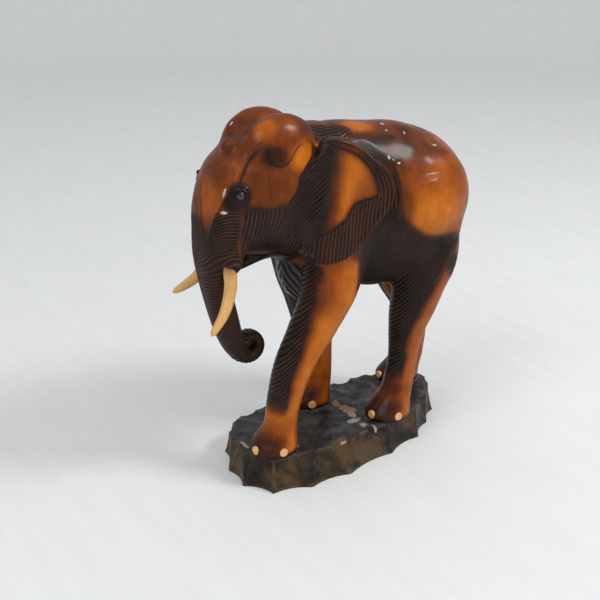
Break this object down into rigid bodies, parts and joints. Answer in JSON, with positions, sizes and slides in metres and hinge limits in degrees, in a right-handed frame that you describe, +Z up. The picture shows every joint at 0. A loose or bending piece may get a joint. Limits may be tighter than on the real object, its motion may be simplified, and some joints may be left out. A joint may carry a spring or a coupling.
{
  "type": "carved wooden elephant",
  "caption": "Carved wooden elephant figurine in mid stride, with pale tusks and toenail plugs, standing on a blackened gouge-cut plinth.",
  "frame": {"origin": "centre of the base's flat underside", "axes": "+Z up, the elephant faces -Y, and its left flank is on +X"},
  "size_m": [0.138, 0.3196, 0.355],
  "materials": {
    "carved_wood": "stained and airbrushed amber to dark brown, gloss lacquer",
    "base_wood": "black paint over dark olive-brown stain, worn, satin",
    "tusk_wood": "pale yellow, satin",
    "nail_wood": "pale end-grain dowel, gloss lacquer",
    "dowel_wood": "bare",
    "eye_bead": "near-black, high gloss"
  },
  "bodies": {
    "root": {"base": "base_wood", "carving": "carved_wood", "dowel_front_left": "dowel_wood", "dowel_front_right": "dowel_wood", "dowel_hind_left": "dowel_wood", "dowel_hind_right": "dowel_wood", "eye_left": "eye_bead", "eye_right": "eye_bead", "nail_front_left_front": "nail_wood", "nail_front_left_inner": "nail_wood", "nail_front_left_outer": "nail_wood", "nail_front_right_front": "nail_wood", "nail_front_right_inner": "nail_wood", "nail_front_right_outer": "nail_wood", "nail_hind_left_front": "nail_wood", "nail_hind_left_inner": "nail_wood", "nail_hind_left_outer": "nail_wood", "nail_hind_right_front": "nail_wood", "nail_hind_right_inner": "nail_wood", "nail_hind_right_outer": "nail_wood", "tusk_left": "tusk_wood", "tusk_right": "tusk_wood"}
  },
  "joints": []
}
